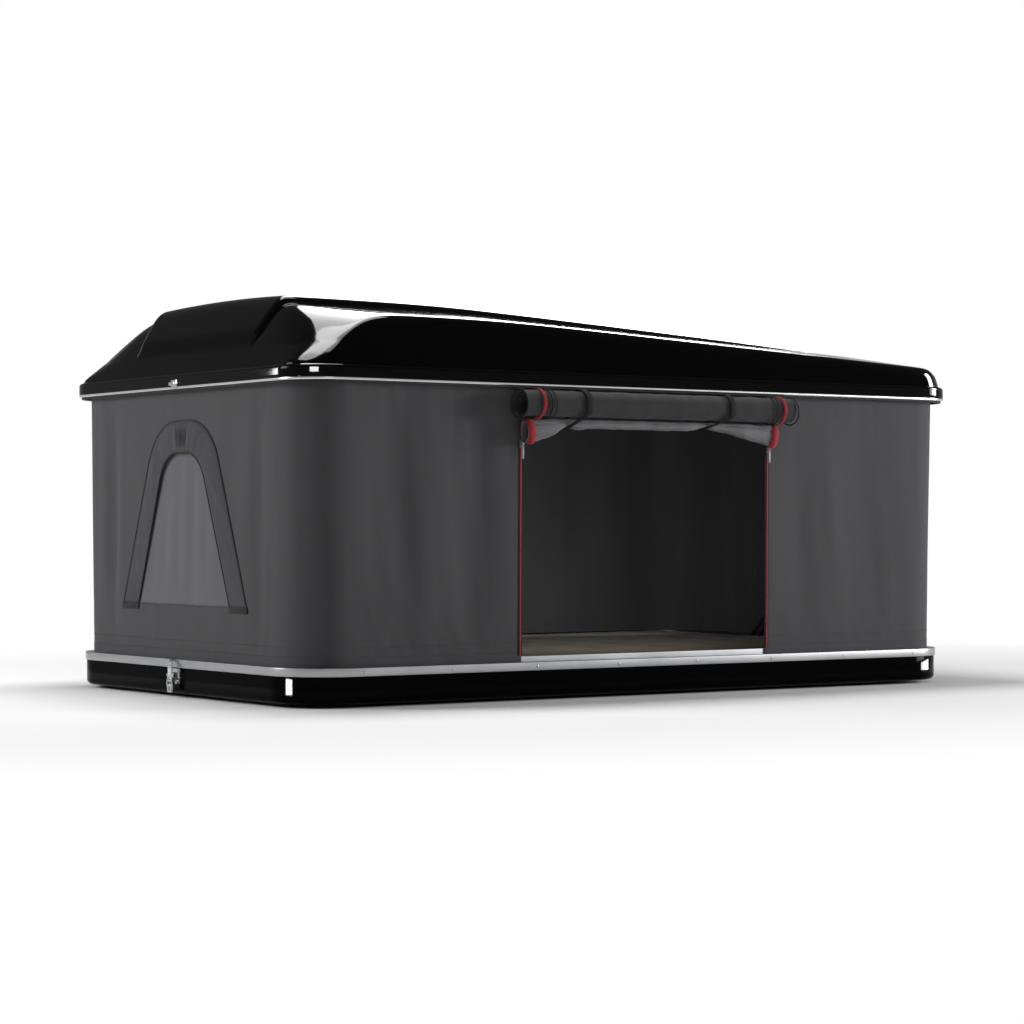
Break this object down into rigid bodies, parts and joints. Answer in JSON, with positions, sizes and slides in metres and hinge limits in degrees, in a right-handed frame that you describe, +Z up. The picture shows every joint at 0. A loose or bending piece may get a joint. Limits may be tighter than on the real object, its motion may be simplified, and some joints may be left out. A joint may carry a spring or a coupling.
{
  "type": "roof top tent",
  "caption": "Raised hard-shell roof top tent: moulded base tray and wedge-shaped roof joined by cloth walls, lifted by crossed arms, with rolled door, net windows and end latches.",
  "frame": {"origin": "middle of the tray's underside", "axes": "+X along the length towards the thin end of the roof, +Y away from the open door, +Z up"},
  "size_m": [2.136, 1.3264, 0.9971],
  "materials": {
    "gelcoat_black": "gloss",
    "rim_aluminium": "satin",
    "trim_bright": "polished",
    "floor_board": "matte",
    "mattress_cover": "matte",
    "arm_alloy": "satin",
    "mechanism_steel": "satin",
    "gearbox_alloy": "matte",
    "nut_bronze": "satin",
    "nylon": "satin",
    "latch_chrome": "polished",
    "wall_canvas": "matte",
    "mesh_net": "matte",
    "zip_red": "matte",
    "strap_black": "matte",
    "seal_rubber": "matte"
  },
  "bodies": {
    "base": {"lower_shell": "gelcoat_black", "lower_rim": "rim_aluminium", "wall_track": "rim_aluminium", "rim_rivets": "rim_aluminium", "near_mount_rail": "rim_aluminium", "far_mount_rail": "rim_aluminium", "floor_panel": "floor_board", "mattress": "mattress_cover", "front_pivot_bracket": "mechanism_steel", "rear_pivot_bracket": "mechanism_steel", "front_gearbox": "gearbox_alloy", "rear_gearbox": "gearbox_alloy", "front_screw_bearing": "mechanism_steel", "rear_screw_bearing": "mechanism_steel", "shaft_hanger": "mechanism_steel", "crank_bush": "nylon", "front_latch_plate": "latch_chrome", "rear_latch_plate": "latch_chrome", "wall_canvas": "wall_canvas", "front_window_net": "mesh_net", "rear_window_net": "mesh_net", "front_window_hood": "wall_canvas", "rear_window_hood": "wall_canvas", "near_zip_tapes": "zip_red", "far_zip_tapes": "zip_red", "far_door": "wall_canvas", "zip_sliders": "latch_chrome"},
    "front_arm_a": {"front_arm_a": "arm_alloy", "front_arm_glide": "nylon", "front_centre_pin": "mechanism_steel"},
    "front_arm_b": {"front_arm_b": "arm_alloy"},
    "front_nut": {"front_nut": "nut_bronze"},
    "front_screw": {"front_screw": "mechanism_steel"},
    "front_latch_lever": {"front_latch_lever": "latch_chrome"},
    "front_latch_claw": {"front_latch_claw": "latch_chrome"},
    "rear_arm_a": {"rear_arm_a": "arm_alloy", "rear_arm_glide": "nylon", "rear_centre_pin": "mechanism_steel"},
    "rear_arm_b": {"rear_arm_b": "arm_alloy"},
    "rear_nut": {"rear_nut": "nut_bronze"},
    "rear_screw": {"rear_screw": "mechanism_steel"},
    "rear_latch_lever": {"rear_latch_lever": "latch_chrome"},
    "rear_latch_claw": {"rear_latch_claw": "latch_chrome"},
    "drive_shaft": {"drive_shaft": "mechanism_steel"},
    "crank_socket": {"crank_socket": "mechanism_steel"},
    "roof": {"upper_shell": "gelcoat_black", "upper_rim": "trim_bright", "rim_seal": "seal_rubber", "front_roof_rail": "arm_alloy", "rear_roof_rail": "arm_alloy", "front_keeper": "latch_chrome", "rear_keeper": "latch_chrome", "door_roll": "wall_canvas", "net_roll": "mesh_net", "roll_straps": "strap_black", "roll_zips": "zip_red"}
  },
  "joints": [
    {"name": "lift", "type": "hinge", "parent": "base", "child": "front_arm_a", "pos_m": [-0.9965, -0.522, 0.048], "axis": [-1, 0, 0], "range_deg": [0, 41.78], "deforming": ["wall_canvas", "front_window_net", "rear_window_net", "front_window_hood", "rear_window_hood", "near_zip_tapes", "far_zip_tapes", "far_door", "zip_sliders", "door_roll", "net_roll", "roll_straps", "roll_zips"]},
    {"name": "front_cross", "type": "hinge", "parent": "front_arm_a", "child": "front_arm_b", "pos_m": [-0.9905, -0.1575, 0.419], "axis": [-1, 0, 0], "range_deg": [-83.62, 0]},
    {"name": "roof_level", "type": "hinge", "parent": "front_arm_b", "child": "roof", "pos_m": [-0.9805, -0.522, 0.79], "axis": [-1, 0, 0], "range_deg": [0, 41.84]},
    {"name": "front_nut_level", "type": "hinge", "parent": "front_arm_b", "child": "front_nut", "pos_m": [-0.9805, 0.207, 0.048], "axis": [-1, 0, 0], "range_deg": [0, 41.84]},
    {"name": "rear_lift", "type": "hinge", "parent": "base", "child": "rear_arm_a", "pos_m": [0.9965, -0.522, 0.048], "axis": [-1, 0, 0], "range_deg": [0, 41.84]},
    {"name": "rear_cross", "type": "hinge", "parent": "rear_arm_a", "child": "rear_arm_b", "pos_m": [0.9905, -0.1575, 0.419], "axis": [-1, 0, 0], "range_deg": [-83.62, 0]},
    {"name": "rear_nut_level", "type": "hinge", "parent": "rear_arm_b", "child": "rear_nut", "pos_m": [0.9805, 0.207, 0.048], "axis": [-1, 0, 0], "range_deg": [0, 41.84]},
    {"name": "front_screw_turn", "type": "hinge", "parent": "base", "child": "front_screw", "pos_m": [-1.0085, 0.207, 0.048], "axis": [0, 1, 0], "range_deg": [0, 6954.02]},
    {"name": "rear_screw_turn", "type": "hinge", "parent": "base", "child": "rear_screw", "pos_m": [1.0085, 0.207, 0.048], "axis": [0, 1, 0], "range_deg": [0, 6954.02]},
    {"name": "shaft_turn", "type": "hinge", "parent": "base", "child": "drive_shaft", "pos_m": [0, 0.1725, 0.015], "axis": [1, 0, 0], "range_deg": [0, 6954.02]},
    {"name": "crank_turn", "type": "hinge", "parent": "base", "child": "crank_socket", "pos_m": [1.037, 0.1725, 0.048], "axis": [1, 0, 0], "range_deg": [0, 6954.02]},
    {"name": "front_lever", "type": "hinge", "parent": "base", "child": "front_latch_lever", "pos_m": [-1.059, 0, 0.048], "axis": [0, 1, 0], "range_deg": [0, 115]},
    {"name": "front_claw", "type": "hinge", "parent": "front_latch_lever", "child": "front_latch_claw", "pos_m": [-1.063, 0, 0.034], "axis": [0, 1, 0], "range_deg": [-127, 0]},
    {"name": "rear_lever", "type": "hinge", "parent": "base", "child": "rear_latch_lever", "pos_m": [1.059, 0, 0.048], "axis": [0, -1, 0], "range_deg": [0, 115]},
    {"name": "rear_claw", "type": "hinge", "parent": "rear_latch_lever", "child": "rear_latch_claw", "pos_m": [1.063, 0, 0.034], "axis": [0, -1, 0], "range_deg": [-127, 0]}
  ],
  "couplings": [
    {"joint": "front_cross", "follows": "lift", "ratio": -2},
    {"joint": "roof_level", "follows": "lift", "ratio": 1},
    {"joint": "front_nut_level", "follows": "lift", "ratio": 1},
    {"joint": "rear_lift", "follows": "lift", "ratio": 1},
    {"joint": "rear_cross", "follows": "lift", "ratio": -2},
    {"joint": "rear_nut_level", "follows": "lift", "ratio": 1},
    {"joint": "front_screw_turn", "follows": "lift", "ratio": 166.4},
    {"joint": "rear_screw_turn", "follows": "lift", "ratio": 166.4},
    {"joint": "shaft_turn", "follows": "lift", "ratio": 166.4},
    {"joint": "crank_turn", "follows": "lift", "ratio": 166.4},
    {"joint": "front_claw", "follows": "front_lever", "ratio": -1.1},
    {"joint": "rear_claw", "follows": "rear_lever", "ratio": -1.1}
  ]
}
